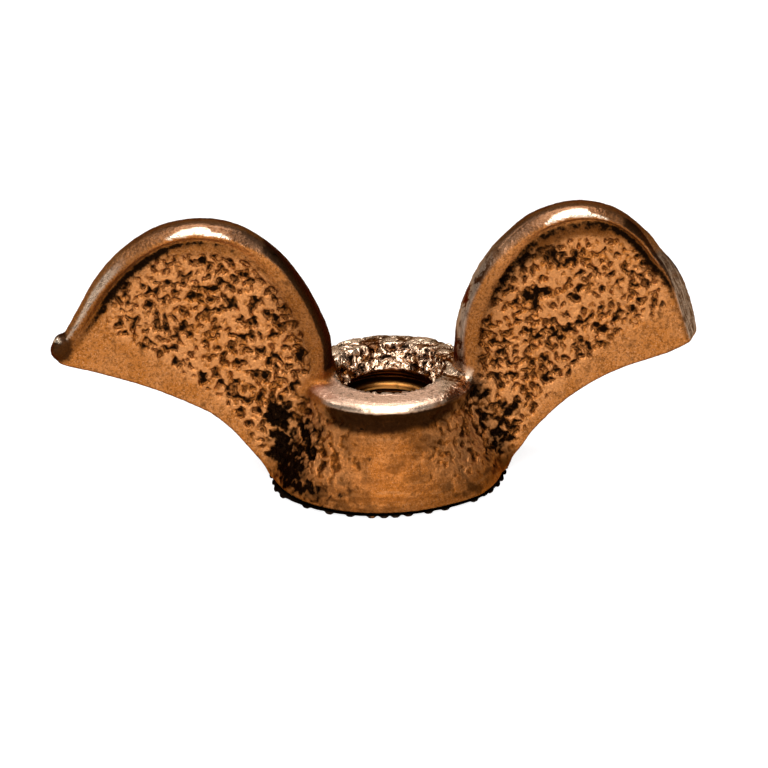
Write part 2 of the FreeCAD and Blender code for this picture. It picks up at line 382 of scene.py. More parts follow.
def make_casting():
    lo, hi = np.array([-20.4, -7.9, -0.5]), np.array([18.9, 7.9, 16.8])
    n = ((hi - lo) / CELL).astype(int) + 1
    x = (lo[0] + CELL * np.arange(n[0], dtype=F))[:, None, None].astype(F)
    y = (lo[1] + CELL * np.arange(n[1], dtype=F))[None, :, None].astype(F)
    z = (lo[2] + CELL * np.arange(n[2], dtype=F))[None, None, :].astype(F)
    field = np.clip(casting(x, y, z) / CELL, -4, 4).astype(F)
    grid = openvdb.FloatGrid(background=4.0)
    grid.copyFromArray(np.ascontiguousarray(field))
    pts, _, quads = grid.convertToPolygons(isovalue=0.0, adaptivity=0.0)
    p = pts.astype(float) * CELL + lo
    for _ in range(4):  # on to the exact surface
        g = gradient(casting, p)
        size = np.maximum((g * g).sum(1), 0.15)
        f = casting(*p.T.astype(F))
        p = p - np.clip(f / size, -0.06, 0.06)[:, None] * g
    g = gradient(casting, p)
    normal = g / np.maximum(np.linalg.norm(g, axis=1), 1e-6)[:, None]
    # faces may wind either way: make them agree with the field
    a, b, c = p[quads[:, 0]], p[quads[:, 1]], p[quads[:, 2]]
    up = np.einsum("ij,ij->i", np.cross(b - a, c - a), normal[quads[:, 0]])
    if (up > 0).mean() < 0.5:
        quads = quads[:, ::-1]
    return p, normal, quads


def wing_facts(p):
    """Per point: distance to the bead and to the lower edge, share along the bead, way out,
    half height there and how far outside the bead's middle line."""
    x, y, z = p.T
    db, dl, sb = np.full(len(p), 9.0), np.full(len(p), 9.0), np.zeros(len(p))
    out, hb, rad = np.zeros((len(p), 2)), np.full(len(p), 0.6), np.zeros(len(p))
    for w in wings:
        m = (x * w.side) > 2.0
        db[m] = w.d_bead(x[m], z[m])
        dl[m] = w.d_lower(x[m], z[m])
        sb[m] = w.s_bead(x[m], z[m])
        e = 0.15
        gx = w.region(x[m] + e, z[m]) - w.region(x[m] - e, z[m])
        gz = w.region(x[m], z[m] + e) - w.region(x[m], z[m] - e)
        n = np.maximum(np.hypot(gx, gz), 1e-6)
        out[m] = np.stack([gx / n, gz / n], axis=1)
        hb[m] = np.interp(sb[m], w.section[:, 0], w.section[:, 2])
        rad[m] = w.region(x[m], z[m])
    return db, dl, sb, out, hb, rad


def spots(ax, z, places):
    """Soft round patches: centre, half sizes and weight of each."""
    v = np.zeros(len(ax))
    for cx, cz, sx, sz, w in places:
        v = np.maximum(v, w * np.exp(-(((ax - cx) / sx) ** 2) - (((z - cz) / sz) ** 2)))
    return v


CREASE = {  # share of the bead's length, how dark the crease beside it is, how wide (mm)
    -1: [(0.0, 0.2, 0.35), (0.30, 0.35, 0.4), (0.45, 0.5, 0.35), (0.58, 0.8, 0.32), (0.66, 1.1, 0.46),
         (0.84, 1.1, 0.50), (0.92, 0.7, 0.26), (1.0, 0.2, 0.2)],
    1: [(0.0, 0.3, 0.4), (0.22, 0.5, 0.5), (0.32, 0.95, 0.85), (0.48, 0.80, 0.85), (0.58, 0.70, 0.65),
        (0.68, 1.1, 0.40), (0.84, 1.0, 0.32), (0.95, 0.5, 0.22), (1.0, 0.1, 0.2)],
}


def dress_casting():
    p, nrm, quads = make_casting()
    x, y, z = p.T
    ax, r = np.abs(x), np.hypot(x, y)
    db, dl, sb, out, hb, rad = wing_facts(p)
    crown = nrm[:, 0] * out[:, 0] + nrm[:, 2] * out[:, 1]

    # how closed in each point is
    shut = np.zeros(len(p))
    for d in (0.35, 0.8, 1.6):
        q = (p + nrm * d).T.astype(F)
        shut += np.clip(1 - casting(*q) / d, 0, 1)
    shut /= 3

    flank = hub_field(r.astype(F), z.astype(F))
    wing = ramp(0.25, 0.9, flank)  # 1 clear of the hub, 0 on it
    bore = ramp(0.12, 0.02, r - (MAJOR_R + 0.05)) * (z < BORE_TOP + 0.1)
    under = ramp(-0.2, -0.75, nrm[:, 2]) * (z < 1.2)
    top = ramp(0.55, 0.9, nrm[:, 2]) * (z > 5.3) * (r < 5.2) * (1 - wing)
    mouth = (r < MOUTH_R + 0.10) * (z > BORE_TOP - 0.1) * (1 - wing)
    inner = ramp(0.42, 0.25, sb)  # the part of a wing that faces the bore
    bead = ramp(hb + 0.42, hb + 0.22, db) * wing
    smooth_band = np.interp(ax, [7.5, 9.5, 11.5, 13.5, 16.0], [0.35, 0.75, 1.3, 1.9, 2.5])
    # over the top a smooth margin is left between the bead and the pits
    margin = np.where(x < 0, np.interp(sb, [0.42, 0.49, 0.60, 0.68], [0, 0.38, 0.38, 0]), np.interp(sb, [0.40, 0.47, 0.64, 0.72], [0, 0.50, 0.50, 0]))
    open_web = ramp(-0.2, 0.8, dl - smooth_band) * ramp(hb + 0.22 - 0.2 * inner + margin, hb + 0.6 - 0.2 * inner + 1.2 * margin, db)
    tip = ramp(17.0, 15.2, ax)
    pits_wing = wing * open_web * tip
    left, right = x < 0, x >= 0
    heavy = np.where(
        left,
        spots(ax, z, [(6.1, 2.1, 1.25, 1.6, 1.15), (6.5, 4.0, 0.95, 1.0, 1.0), (4.9, 3.2, 0.8, 1.3, 0.7),
                      (5.1, 1.0, 1.1, 0.7, 0.75)]),
        spots(ax, z, [(6.2, 2.6, 0.88, 1.5, 0.78), (5.0, 4.9, 0.9, 0.8, 0.75), (5.6, 3.7, 0.8, 1.0, 0.7),
                      (6.9, 3.9, 1.0, 0.8, 0.6)]),
    ) * (1 - bore) * (1 - under)
    crease = np.zeros(len(p))
    for w in wings:
        c = np.array(CREASE[w.side])
        dark = np.interp(sb, c[:, 0], c[:, 1])
        wide = np.interp(sb, c[:, 0], c[:, 2])
        on = (x * w.side > 2.0) * wing * ramp(0.55, 0.25, crown)
        off = db - (hb + 0.16)
        side_wide = np.where(off < 0, 0.16, wide)
        crease = np.maximum(crease, on * dark * np.exp(-((off / side_wide) ** 2)))
    hub_face = (1 - wing) * (1 - top) * (1 - bore) * (1 - under) * (1 - mouth)
    roots = ramp(0.8, 4.6, ax)  # the flank's pits gather near the wings
    hub_pits = hub_face * roots * ramp(0.9, 2.4, z) * ramp(5.35, 5.05, z)
    ring_back = (top + mouth) * ramp(-1.2, 0.6, y)
    pits = np.clip(np.maximum(pits_wing, 0.5 * hub_pits) + 0.3 * heavy + 0.45 * ring_back + 0.35 * mouth, 0, 1)
    pits *= 1 - bore
    rubbed = np.where(
        left,
        np.interp(sb, [0, 0.25, 0.36, 0.44, 0.58, 0.70, 0.92, 0.96, 1.0], [0.1, 0.15, 0.6, 0.9, 0.85, 0.40, 0.30, 0.5, 0.6]),
        np.interp(sb, [0, 0.24, 0.36, 0.44, 0.56, 0.66, 0.80, 1.0], [0.75, 0.7, 0.7, 0.9, 0.8, 0.5, 0.3, 0.2]),
    )
    worn = bead * ramp(0.30, 0.55, crown) * rubbed
    # the rubbed lip of the hub; its pale colour is trimmed to where the highlight falls, so it is partly a painted
    # highlight
    lip_wear_and_highlight = ramp(4.35, 4.60, r) * ramp(5.36, 5.50, z) * (1 - wing)
    lip_wear_and_highlight *= ramp(1.0, 2.0, np.abs(y)) * (1 - 0.85 * ramp(1.9, 2.9, x) * (y < 0))
    lip_wear_and_highlight *= np.where(y < 0, ramp(-4.1, -3.4, x), 1.0)
    top *= 1 - 0.7 * ramp(2.6, 3.8, x) * (y < 0.5)
    top *= 1 - ramp(2.9, 3.7, ax) * ramp(2.3, 1.5, np.abs(y))
    worn = np.clip(np.maximum(worn, 0.95 * lip_wear_and_highlight), 0, 1)
    strip = bead * (x > 0) * ramp(0.45, 0.75, crown) * ramp(0.40, 0.30, sb)
    # painted shade on the flank just under the hub's lip
    shade_under_lip = (1 - wing) * ramp(5.46, 5.32, z) * ramp(3.7, 5.1, z) * (r > 4.2) * ramp(4.4, 2.8, ax)
    # painted shade on the down-facing lower edges of the wings and round the foot of the hub
    underside_shade = ramp(0.30, 0.06, dl) * wing * ramp(-0.15, -0.6, nrm[:, 2]) * ramp(hb + 0.1, hb + 0.5, db)
    underside_shade = np.maximum(underside_shade, (1 - wing) * ramp(0.55, 0.30, z) * (r > 6.2) * 0.8)
    # patina along the crown of the left bead's inner side
    rim = (x < 0) * bead * ramp(0.30, 0.60, crown) * ramp(0.46, 0.38, sb)
    # patina tone towards the bore side; most terms added below are painted shade
    patina_and_painted_shade = np.where(left, inner, 0.7 * inner) * wing * ramp(2.4, 0.7, db)  # browner towards the bore side
    # painted shade on the underside of the left bead's outer part
    patina_and_painted_shade = np.maximum(patina_and_painted_shade, left * bead * ramp(0.64, 0.72, sb) * ramp(0.62, 0.42, crown))
    # a browner band under the bead along the top
    patina_and_painted_shade = np.maximum(patina_and_painted_shade, margin * np.where(left, 1.8, 2.8) * wing * (1 - bead) * ramp(hb + 1.25, hb + 0.75, db))
    # darker patches at the left wing's tip and high on the right wing
    dark_patches = np.where(left, spots(ax, z, [(19.0, 8.3, 0.80, 0.95, 2.2)]), spots(ax, z, [(8.9, 13.0, 2.0, 1.0, 0.95)]) * (1 - bead))
    # painted shade under the right end of the lip
    dark_patches = np.maximum(dark_patches, (1 - wing) * ramp(4.3, 4.9, z) * ramp(5.56, 5.40, z) * ramp(2.4, 3.4, x) * (y < 0.5) * (r > 3.3))
    rough_lip = (1 - wing) * ramp(5.36, 5.50, z) * ramp(2.4, 3.3, x) * ramp(0.8, 0.2, y) * (r > MOUTH_R)
    facing = np.abs(nrm[:, 1]) * math.cos(SHOULDER) + crown * math.sin(SHOULDER)
    flat = bead * ramp(0.955, 0.985, facing)
    # the polished patch, pale in colour as a painted highlight, is a lens: its upper edge drops towards both ends
    edge = np.where(
        left,
        np.interp(sb, [0.428, 0.436, 0.462, 0.468, 0.4725, 0.4875, 0.507, 0.527, 0.5325, 0.551, 0.581, 0.619, 0.645, 0.66],
                  [-1.0, -0.10, -0.10, -0.6, -0.20, 0.02, 0.11, 0.11, 0.30, 0.33, 0.26, 0.06, -0.20, -1.0]),
        np.interp(sb, [0.462, 0.478, 0.49, 0.518, 0.5375, 0.569, 0.588, 0.596, 0.629, 0.644, 0.660, 0.672],
                  [-1.0, -0.20, -0.04, 0.20, 0.29, 0.30, 0.26, 0.07, -0.02, -0.07, -0.20, -1.0]),
    )
    polish_and_painted_highlight = flat * ramp(edge + 0.05, edge - 0.03, rad)
    # a darker line splits the painted highlight into two strokes
    highlight_split = np.where(left, np.interp(sb, [0.53, 0.593], [0.28, -0.18]), np.interp(sb, [0.522, 0.592], [-0.16, 0.22]))
    across = np.where(left, ramp(0.522, 0.534, sb) * ramp(0.602, 0.590, sb), ramp(0.512, 0.524, sb) * ramp(0.600, 0.590, sb))
    polish_and_painted_highlight *= 1 - 0.75 * across * np.exp(-(((rad - highlight_split) / 0.04) ** 2))
    # painted shade on the bead above the highlight
    patina_and_painted_shade = np.maximum(patina_and_painted_shade, bead * ramp(0.36, 0.46, sb) * ramp(0.76, 0.68, sb) * ramp(edge - 0.02, edge + 0.07, rad) * ramp(0.15, 0.4, crown))
    # a thin painted highlight streak along the left bead's outer part
    thin_highlight = left * bead * ramp(0.985, 0.998, facing) * ramp(0.72, 0.80, sb)
    polish_and_painted_highlight = np.maximum(polish_and_painted_highlight, 0.6 * thin_highlight)
    # a painted glint on the blob at the left wing's tip
    polish_and_painted_highlight = np.maximum(polish_and_painted_highlight, left * spots(ax, z, [(19.12, 8.62, 0.26, 0.24, 1.5)]) * ramp(0.1, -0.2, nrm[:, 1]) * ramp(0.3, 0.5, nrm[:, 2]))
    # a black strip on the right bead's shoulder past the highlight: painted dark reflection
    shoulder_dark_reflection = right * bead * ramp(0.655, 0.69, sb) * ramp(0.93, 0.84, sb) * ramp(0.25, 0.45, crown) * ramp(0.28, 0.42, np.abs(y)) * 1.15
    # painted shade on the right bead's inner ridge beyond the highlight
    patina_and_painted_shade = np.maximum(patina_and_painted_shade, right * bead * ramp(0.60, 0.68, sb) * ramp(0.55, 0.25, crown))
    # patina near the wing roots on the hub
    dark_patches = np.maximum(dark_patches, hub_face * spots(ax, z, [(4.6, 3.4, 1.5, 2.2, 0.62)]))
    rim = np.maximum(rim, shoulder_dark_reflection)
    dark_patches *= 1 - np.clip(polish_and_painted_highlight, 0, 1)
    # a painted highlight: a golden band across the back wall of the bore
    bore_highlight_band = bore * np.exp(-(((z - 3.68) / 0.24) ** 2)) * ramp(MINOR_R + 0.30, MINOR_R + 0.08, r)
    bore_highlight_band *= 0.15 + 0.85 * np.exp(-(((x - 0.1) / 1.15) ** 2)) * (y > 0)
    ground = np.zeros(len(p))
    for (px, pz), (nx, nz), swing in GATE_CUTS:
        c, w = math.cos(math.radians(swing)), math.sin(math.radians(swing))
        plane = (x - px) * nx * c - y * w + (z - pz) * nz * c
        facing = nrm @ np.array([nx * c, -w, nz * c])
        ground = np.maximum(ground, ramp(0.12, 0.02, np.abs(plane)) * ramp(0.90, 0.98, facing) * ramp(13.1, 12.5, z))
    pits *= 1 - ground
    worn = worn * (1 - ground)

    plate = right * spots(ax, z, [(10.6, 11.8, 4.2, 2.6, 1.0)])
    n = noise_at(p, list(NOISES))
    worm = n["worm"] - 0.5
    flake = n["flake"] - 0.5
    # pits open where the noise rises over a level that the place sets
    level = worm + (0.30 + 0.40 * plate) * flake + 0.13 * (pits - 1.0)
    depth = (0.35 * ramp(-0.14, 0.02, level) + 0.65 * ramp(0.0, 0.11, level)) * np.clip(pits * 1.5, 0, 1)
    calm = (1 - bore) * (1 - under) * (1 - ground)
    move = 0.03 * np.clip(pits * 1.5, 0, 1) - 0.16 * depth * (1 - 0.5 * heavy)
    move += 0.10 * (n["wave"] - 0.5) * (1 - bore) * (1 - under)
    move += 0.14 * flake * np.clip(pits, 0, 1)
    move += (0.05 * worm + 0.03 * (n["grain"] - 0.5)) * calm
    move += (0.30 * (n["chip"] - 0.5) + 0.19 * (r > MOUTH_R)) * np.clip(ring_back + 0.5 * mouth, 0, 1)
    move += 0.16 * (n["chip"] - 0.5) * strip + 0.22 * (n["chip"] - 0.5) * rough_lip
    move += 0.30 * (n["lump"] - 0.5) * hub_face * (0.42 + 0.58 * roots) * ramp(0.7, 2.0, z) * ramp(5.35, 5.0, z)
    move -= 0.05 * crease * calm
    q = p + nrm * move[:, None]
    q[:, 2] = np.maximum(q[:, 2], 0.03)
    ob = mesh_object("cast_nut", q, quads)
    attribute(ob, "rest", p, "FLOAT_VECTOR")
    for k, v in (("pits", pits), ("heavy", heavy), ("shut", shut), ("worn", worn), ("ground", ground),
                 ("bore", bore), ("topface", np.clip(top * (1 - 0.6 * ring_back), 0, 1)),
                 ("mouth", np.clip(ring_back + 0.6 * mouth + 0.8 * rough_lip, 0, 1)), ("crease", crease), ("lip_wear_and_highlight", lip_wear_and_highlight),
                 ("strip", strip), ("shade_under_lip", shade_under_lip), ("patina_and_painted_shade", patina_and_painted_shade), ("rim", rim), ("underside_shade", underside_shade), ("dark_patches", dark_patches), ("bore_highlight_band", bore_highlight_band), ("polish_and_painted_highlight", polish_and_painted_highlight),
                 ("side", hub_face * (0.5 + 0.5 * roots) * ramp(5.35, 5.1, z)), ("plate", plate), ("flank", hub_face)):
        attribute(ob, k, v)
    print("casting:", len(q), "points", len(quads), "quads")
    return ob


# ------------------------------------------------------------------ washer
WASHER_X, WASHER_R, WASHER_HOLE = -0.25, 7.5, 4.05
TOOTH_ANGLES = [  # front teeth, degrees round from +X, as they stand on the rim
    180.5, 187.0, 193.5, 200.5, 207.5, 214.9, 222.0, 230.2, 236.3, 242.2, 247.0, 252.0, 256.8, 261.6, 267.1,
    272.2, 278.0, 283.0, 287.2, 295.0, 302.2, 309.8, 316.6, 320.7, 328.0, 333.8, 340.5, 346.5, 353.5,
]
WORN_TEETH = {222.0: 0.15, 236.3: 0.25, 247.0: 0.15, 256.8: 0.2, 283.0: 0.2, 302.2: 0.0, 316.6: 0.6}


def make_washer():
    rng = np.random.default_rng(5)
    teeth = [(a, WORN_TEETH.get(a, 0.85 + 0.15 * rng.random())) for a in TOOTH_ANGLES]
    a = 360.0
    while a < 537.5:
        teeth.append((a % 360, 0.6 + 0.4 * rng.random()))
        a += 6.0 + rng.normal(0, 0.45)
    teeth.sort()
    ang = np.array([t[0] for t in teeth])
    height = np.array([t[1] for t in teeth])
    n = 1080
    t = (np.arange(n) + 0.5) * 360 / n
    gap = (t[:, None] - ang[None, :] + 180) % 360 - 180
    # rounded tooth, flat-tipped, about 5.8 degrees of pitch
    shape = ramp(3.1, 0.6, np.abs(gap)) * height[None, :]
    tooth = shape.max(axis=1)
    tooth = 0.06 + 0.94 * tooth
    reach_out = np.interp(t, [0, 14, 60, 120, 165, 178, 198, 208, 216, 246, 262, 285, 300, 312, 324, 333, 345, 360],
                          [-0.42, -0.16, 0, 0, -0.12, -0.40, -0.30, 0.08, 0.20, 0.12, 0.05, 0.02, 0.13, 0.22, 0.12, -0.09,
                           -0.31, -0.42])
    # section, from the hole round the top to the rim and back underneath: radius, z, share of tooth
    top = [(4.05, 0.52), (4.05, 0.76), (4.10, 0.80), (4.6, 0.682), (5.2, 0.535), (5.8, 0.39), (6.3, 0.255),
           (6.6, 0.208), (6.9, 0.185), (7.15, 0.168), (7.32, 0.155), (7.42, 0.140), (7.47, 0.120)]
    low = [(7.50, 0.085), (7.49, 0.045), (7.45, 0.012), (7.38, 0.0), (7.2, 0.0), (6.9, 0.0), (6.6, 0.0),
           (6.35, 0.0), (6.12, 0.01), (5.9, 0.055), (5.5, 0.15), (5.0, 0.272), (4.5, 0.395), (4.12, 0.487)]
    rows, edge, rest = [], [], []
    th = np.radians(t)
    for i, (r, z) in enumerate(top + low):
        on = i >= len(top)
        reach = float(np.clip((r - 6.0) / 1.3, 0, 1)) if on else 0.0
        cut = (1 - tooth) * 0.150 * reach  # the gap between two teeth, cut upward
        back = (1 - tooth) * 0.11 * float(np.clip((r - 7.1) / 0.4, 0, 1))  # and inward at the rim
        if not on and r > 7.1:
            cut = -(1 - tooth) * 0.0
        rr = r - back + reach_out * float(np.clip((r - 6.2) / 1.2, 0, 1))
        zz = np.minimum(z + cut, 0.150) if on else np.full(n, z)
        rows.append(np.stack([WASHER_X + rr * np.cos(th), rr * np.sin(th), zz], axis=1))
        edge.append(tooth * (0.95 if on and r > 7.3 and z < 0.03 else (0.62 if r > 7.38 else 0.15)))
        rest.append(np.stack([WASHER_X + r * np.cos(th), r * np.sin(th), np.full(n, z)], axis=1))
    m = len(rows)
    p = np.vstack(rows)
    i, j = np.meshgrid(np.arange(m), np.arange(n), indexing="ij")
    i2, j2 = (i + 1) % m, (j + 1) % n
    quads = np.stack([i * n + j, i * n + j2, i2 * n + j2, i2 * n + j], axis=-1).reshape(-1, 4)
    a0, b0, c0 = p[quads[:, 0]], p[quads[:, 1]], p[quads[:, 2]]
    mid = (a0 + c0) / 2
    ring = np.hypot(mid[:, 0] - WASHER_X, mid[:, 1])
    face = np.cross(b0 - a0, c0 - a0)
    low_side = mid[:, 2] < 0.05
    out = np.where(low_side, -face[:, 2], 0)
    if out.sum() < 0:
        quads = quads[:, ::-1]
    k = noise_at(p, ["worm", "wave"])
    p[:, 2] += 0.02 * (k["worm"] - 0.5) * np.repeat(np.array([0.0 if q >= len(top) + 3 and q <= len(top) + 7 else 1.0 for q in range(m)]), n)
    ob = mesh_object("toothed_washer", p, quads)
    attribute(ob, "rest", np.vstack(rest), "FLOAT_VECTOR")
    attribute(ob, "edge", np.concatenate(edge))
    attribute(ob, "tooth", np.tile(tooth, m))
    print("washer:", len(p), "points", len(quads), "quads")
    return ob


# ------------------------------------------------------------------ materials
class Nodes:
    """A short way to write a node tree."""

    def __init__(self, name):
        self.mat = bpy.data.materials.new(name)
        self.mat.use_nodes = True
        self.t = self.mat.node_tree
        self.t.nodes.clear()

    def new(self, kind, **props):
        n = self.t.nodes.new(kind)
        for k, v in props.items():
            setattr(n, k, v)
        return n

    def link(self, value, socket):
        if isinstance(value, bpy.types.NodeSocket):
            self.t.links.new(value, socket)
        else:
            socket.default_value = value

    def attr(self, name, vector=False):
        n = self.new("ShaderNodeAttribute", attribute_name=name)
        return n.outputs["Vector" if vector else "Fac"]

    def math(self, op, a, b=0.0, c=None, clamp=False):
        n = self.new("ShaderNodeMath", operation=op, use_clamp=clamp)
        self.link(a, n.inputs[0])
        self.link(b, n.inputs[1])
        if c is not None:
            self.link(c, n.inputs[2])
        return n.outputs[0]

    def ramp(self, x, lo, hi, a=0.0, b=1.0):
        n = self.new("ShaderNodeMapRange", interpolation_type="SMOOTHSTEP")
        self.link(x, n.inputs["Value"])
        self.link(lo, n.inputs["From Min"])
        self.link(hi, n.inputs["From Max"])
        self.link(a, n.inputs["To Min"])
        self.link(b, n.inputs["To Max"])
        return n.outputs["Result"]

    def mix(self, f, a, b, mode="MIX"):
        n = self.new("ShaderNodeMix", data_type="RGBA", blend_type=mode)
        self.link(f, n.inputs[0])
        for v, s in ((a, n.inputs[6]), (b, n.inputs[7])):
            self.link(v if isinstance(v, bpy.types.NodeSocket) else (*v, 1.0), s)
        return n.outputs[2]

    def mixf(self, f, a, b):
        n = self.new("ShaderNodeMix", data_type="FLOAT")
        self.link(f, n.inputs[0])
        self.link(a, n.inputs[2])
        self.link(b, n.inputs[3])
        return n.outputs[0]

    def noise(self, where, name):
        scale, detail, rough, warp, offset = NOISES[name]
        move = self.new("ShaderNodeVectorMath", operation="ADD")
        self.link(where, move.inputs[0])
        move.inputs[1].default_value = (offset, offset * 0.7, -offset)
        return self.free_noise(move.outputs[0], scale, detail, rough, warp)

    def free_noise(self, where, scale, detail=2.0, rough=0.5, warp=0.0, stretch=None):
        if stretch is not None:
            m = self.new("ShaderNodeMapping")
            self.link(where, m.inputs["Vector"])
            m.inputs["Scale"].default_value = stretch
            where = m.outputs[0]
        n = self.new("ShaderNodeTexNoise")
        self.link(where, n.inputs["Vector"])
        n.inputs["Scale"].default_value = scale
        n.inputs["Detail"].default_value = detail
        n.inputs["Roughness"].default_value = rough
        n.inputs["Distortion"].default_value = warp
        return n.outputs[0]

    def bump(self, height, strength, distance, normal=None):
        n = self.new("ShaderNodeBump")
        n.inputs["Strength"].default_value = strength
        n.inputs["Distance"].default_value = distance
        self.link(height, n.inputs["Height"])
        if normal is not None:
            self.link(normal, n.inputs["Normal"])
        return n.outputs[0]

    def finish(self, color, rough, metal, normal):
        s = self.new("ShaderNodeBsdfPrincipled")
        self.link(color, s.inputs["Base Color"])
        self.link(rough, s.inputs["Roughness"])
        self.link(metal, s.inputs["Metallic"])
        self.link(normal, s.inputs["Normal"])
        s.inputs["Specular Tint"].default_value = (0.45, 0.30, 0.20, 1.0)
        o = self.new("ShaderNodeOutputMaterial")
        self.t.links.new(s.outputs[0], o.inputs["Surface"])
        return self.mat


def bronze_material():
    m = Nodes("antiqued_cast_bronze")
    at = m.attr("rest", vector=True)
    pits, heavy, shut, crease = m.attr("pits"), m.attr("heavy"), m.attr("shut"), m.attr("crease")
    worn, ground, bore, topface = m.attr("worn"), m.attr("ground"), m.attr("bore"), m.attr("topface")
    mouth = m.attr("mouth")
    worm = m.math("SUBTRACT", m.noise(at, "worm"), 0.5)
    flake = m.math("SUBTRACT", m.noise(at, "flake"), 0.5)
    grain = m.noise(at, "grain")
    blotch = m.noise(at, "blotch")
    chip = m.noise(at, "chip")
    fine = m.free_noise(at, 14.0, 2.0, 0.7)
    brown = (0.085, 0.024, 0.004)
    # the same field that shapes the pits
    some = m.math("MULTIPLY", pits, 1.5, clamp=True)

    wide = m.math("MULTIPLY_ADD", m.attr("plate"), 0.40, 0.30)

    def pit_level(where):
        w = m.math("SUBTRACT", m.noise(where, "worm"), 0.5)
        v = m.math("MULTIPLY_ADD", flake, wide, w)
        return m.math("MULTIPLY_ADD", m.math("SUBTRACT", pits, 1.0), 0.13, v)

    level = pit_level(at)
    pit = m.math("MULTIPLY_ADD", m.ramp(level, 0.0, 0.11), 0.65, m.math("MULTIPLY", m.ramp(level, -0.14, 0.02), 0.35))
    pit = m.math("MULTIPLY", pit, some)
    # the dark in each pit is shifted 0.075 mm up, so it sits under the pit's upper wall and leaves the lower wall
    # bright: painted shade over the patina in the pits
    lifted = m.new("ShaderNodeVectorMath", operation="SUBTRACT")
    m.link(at, lifted.inputs[0])
    lifted.inputs[1].default_value = (0.0, 0.0, 0.075)
    pit_shade = m.math("MULTIPLY_ADD", m.math("SUBTRACT", grain, 0.5), 0.14, pit_level(lifted.outputs[0]))
    pit_shade_halo = m.math("MULTIPLY", m.ramp(pit_shade, 0.0, 0.11), some)
    pit_shade_core = m.math("MULTIPLY", m.ramp(pit_shade, 0.080, 0.185), some)
    knob = m.math("MULTIPLY", m.ramp(level, 0.0, -0.11), some)
    # patina that fills the corners and the crease beside the bead
    fill = m.math("MULTIPLY_ADD", m.ramp(shut, 0.35, 0.8), 0.25, m.math("MULTIPLY", heavy, 0.95))
    fill = m.math("MULTIPLY_ADD", m.math("SUBTRACT", blotch, 0.5), 0.9, fill)
    fill = m.math("MULTIPLY_ADD", worm, 1.6, fill)
    fill = m.math("MULTIPLY_ADD", m.math("SUBTRACT", grain, 0.5), 0.5, fill)
    stain = m.ramp(fill, 0.12, 0.50)
    fill = m.ramp(fill, 0.40, 0.68)
    line = m.math("MULTIPLY_ADD", m.math("ADD", worm, m.math("SUBTRACT", grain, 0.5)), 0.9, crease)
    line = m.math("MULTIPLY", m.ramp(line, 0.40, 0.90), m.math("MULTIPLY", crease, 3.0, clamp=True))
    dark = m.math("MAXIMUM", pit_shade_core, m.math("MAXIMUM", fill, line))
    dark = m.math("MULTIPLY", dark, m.math("SUBTRACT", 1.0, ground))

    face = m.mix(m.ramp(blotch, 0.35, 0.65), (0.412, 0.136, 0.024), (0.500, 0.188, 0.050))
    face = m.mix(m.ramp(grain, 0.36, 0.56), m.mix(0.60, face, (0.10, 0.030, 0.004)), face)
    face = m.mix(m.ramp(fine, 0.52, 0.72), face, (0.60, 0.27, 0.11))
    streak = m.free_noise(at, 1.0, 3.0, 0.6, 0.3, (0.55, 0.55, 3.4))
    streaky = m.math("MULTIPLY", m.attr("flank"), m.ramp(streak, 0.44, 0.62))
    face = m.mix(m.math("MULTIPLY", streaky, 0.55), face, (0.17, 0.052, 0.010))
    pale = m.math("MULTIPLY", m.attr("flank"), m.ramp(streak, 0.42, 0.30))
    face = m.mix(m.math("MULTIPLY", pale, 0.45), face, (0.56, 0.25, 0.09))
    face = m.mix(m.math("MULTIPLY", m.attr("flank"), 0.42), face, (0.17, 0.045, 0.004))
    low = m.math("MULTIPLY", m.attr("side"), m.ramp(m.noise(at, "lump"), 0.54, 0.36))
    face = m.mix(m.math("MULTIPLY", low, 0.85), face, (0.060, 0.018, 0.003))
    silver = m.mix(m.ramp(fine, 0.35, 0.65), (0.175, 0.108, 0.066), (0.310, 0.205, 0.140))
    face = m.mix(m.math("MULTIPLY", knob, 0.55), face, (0.66, 0.285, 0.100))
    color = m.mix(m.math("MULTIPLY", worn, 0.85), face, silver)
    # pale colour of the polished patches, the streak and the glint: painted highlight on polished metal
    color = m.mix(m.attr("polish_and_painted_highlight"), color, (0.90, 0.72, 0.54))
    stone = m.mix(m.ramp(fine, 0.38, 0.62), (0.66, 0.39, 0.25), (1.0, 0.70, 0.52))
    # pale rubbed lip, partly a painted highlight
    color = m.mix(m.math("MULTIPLY", m.attr("lip_wear_and_highlight"), 0.9), color, (0.74, 0.53, 0.38))
    color = m.mix(m.math("MULTIPLY", topface, 0.85), color, stone)
    chips = m.mix(m.ramp(m.math("MULTIPLY_ADD", m.math("SUBTRACT", grain, 0.5), 0.3, chip), 0.42, 0.55), (0.060, 0.020, 0.005), (1.0, 0.73, 0.51))
    color = m.mix(m.math("MULTIPLY", mouth, 0.8), color, chips)
    brush = m.free_noise(at, 1.0, 2.0, 0.6, 0.0, (2.2, 26.0, 1.2))
    cut = m.mix(m.ramp(brush, 0.38, 0.62), (0.115, 0.062, 0.033), (0.42, 0.290, 0.200))
    color = m.mix(ground, color, cut)
    # the bore is coloured near black, with the painted highlight band on its back wall
    color = m.mix(bore, color, m.mix(m.attr("bore_highlight_band"), (0.050, 0.012, 0.002), (1.0, 0.44, 0.11)))
    color = m.mix(m.math("MULTIPLY", m.attr("strip"), 0.9), color, m.mix(m.ramp(m.math("MULTIPLY_ADD", m.math("SUBTRACT", grain, 0.5), 0.5, chip), 0.43, 0.55), (0.05, 0.020, 0.009), (0.62, 0.46, 0.34)))
